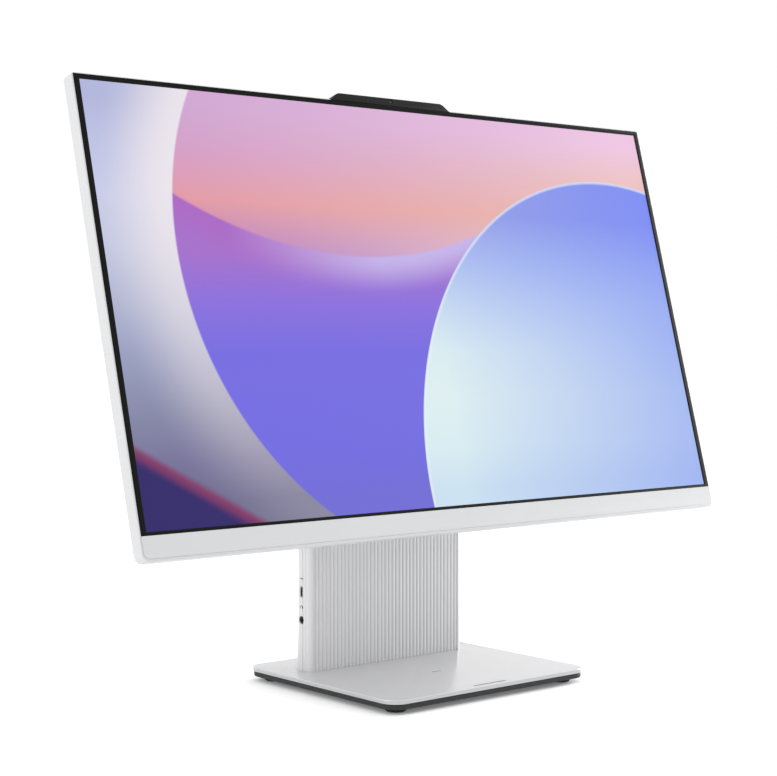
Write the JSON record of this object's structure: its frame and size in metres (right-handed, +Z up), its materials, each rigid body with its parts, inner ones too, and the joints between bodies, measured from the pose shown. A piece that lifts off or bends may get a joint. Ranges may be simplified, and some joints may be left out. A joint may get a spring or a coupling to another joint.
{
  "type": "all-in-one desktop computer",
  "caption": "Slim 27-inch desktop display on a friction tilt hinge, on a ribbed upright column that houses the computer, with a flat rectangular base.",
  "frame": {"origin": "centre of the footprint, on the surface that the rubber feet stand on", "axes": "+X to the viewer's right, +Y to the back (the screen faces -Y), +Z up"},
  "size_m": [0.6106, 0.19, 0.4857],
  "materials": {
    "bezel_black": "smooth satin black moulding",
    "camera_charcoal": "fine-textured charcoal moulding",
    "housing_grey": "satin light cool grey moulding",
    "screen_glass": "lit anti-glare display face",
    "light_guide": "clear acrylic sheet",
    "bright_aluminium": "mill-finish pressed sheet",
    "hinge_steel": "zinc-plated pressed steel",
    "inner_black": "plain black moulding",
    "connector_metal": "plated connector shell",
    "circuit_board": "green lacquered board with black chips",
    "column_silver": "satin silver-grey coating on moulded ribs",
    "copper": "bright drawn copper",
    "base_silver": "satin silver coating with a soft sheen",
    "underlay_charcoal": "fine-textured charcoal moulding",
    "foot_rubber": "matt black rubber"
  },
  "bodies": {
    "stand": {"hinge_bracket_column": "hinge_steel", "neck_cover": "camera_charcoal", "hinge_screw_1": "hinge_steel", "hinge_screw_2": "hinge_steel", "column_front_shell": "column_silver", "column_rear_cover": "column_silver", "stand_spine": "hinge_steel", "motherboard": "circuit_board", "heatsink_plate": "bright_aluminium", "heat_pipe": "copper", "fin_stack": "bright_aluminium", "fan_housing": "inner_black", "memory_module_left": "circuit_board", "memory_module_right": "circuit_board", "ssd_card": "circuit_board", "wifi_card": "circuit_board", "usb_c_port": "inner_black", "audio_jack": "inner_black", "io_plate": "hinge_steel", "dc_inlet": "inner_black", "hdmi_port": "connector_metal", "ethernet_port": "connector_metal", "usb_a_port": "connector_metal", "base_plate": "base_silver", "base_underlay": "underlay_charcoal", "rubber_foot_1": "foot_rubber", "rubber_foot_2": "foot_rubber", "rubber_foot_3": "foot_rubber", "rubber_foot_4": "foot_rubber", "base_screw_1": "hinge_steel", "base_screw_2": "hinge_steel", "base_screw_3": "hinge_steel", "base_screw_4": "hinge_steel"},
    "display": {"front_bezel": "bezel_black", "chin_cover": "housing_grey", "lcd_panel": "screen_glass", "light_guide": "light_guide", "led_strip": "bright_aluminium", "backlight_tray": "bright_aluminium", "mid_frame": "bright_aluminium", "rear_cover": "housing_grey", "hinge_carrier": "hinge_steel", "speaker_left": "inner_black", "speaker_right": "inner_black", "display_board": "circuit_board", "camera_housing": "camera_charcoal", "camera_back_cover": "camera_charcoal", "camera_module": "circuit_board", "hinge_bracket_display": "hinge_steel", "hinge_shaft": "hinge_steel", "hinge_nut": "hinge_steel", "disc_springs_left": "hinge_steel", "disc_springs_right": "hinge_steel", "bracket_screw_1": "hinge_steel", "bracket_screw_2": "hinge_steel", "bracket_screw_3": "hinge_steel", "bracket_screw_4": "hinge_steel"},
    "shutter": {"camera_shutter": "inner_black"},
    "fan_rotor": {"fan_rotor": "inner_black"},
    "power_button": {"power_button": "column_silver"}
  },
  "joints": [
    {"name": "display_tilt", "type": "hinge", "parent": "stand", "child": "display", "pos_m": [0, 0.01401, 0.26403], "axis": [1, 0, 0], "range_deg": [-5, 20]},
    {"name": "shutter_slide", "type": "slide", "parent": "display", "child": "shutter", "axis": [1, 0, 0], "range_m": [0, 0.006]},
    {"name": "fan_spin", "type": "hinge", "parent": "stand", "child": "fan_rotor", "pos_m": [0, 0.0641, 0.19], "axis": [0, 1, 0], "continuous": true},
    {"name": "button_press", "type": "slide", "parent": "stand", "child": "power_button", "axis": [-1, 0, 0], "range_m": [0, 0.0008], "stiffness_N_per_m": 1500, "springref_m": -0.0008}
  ]
}
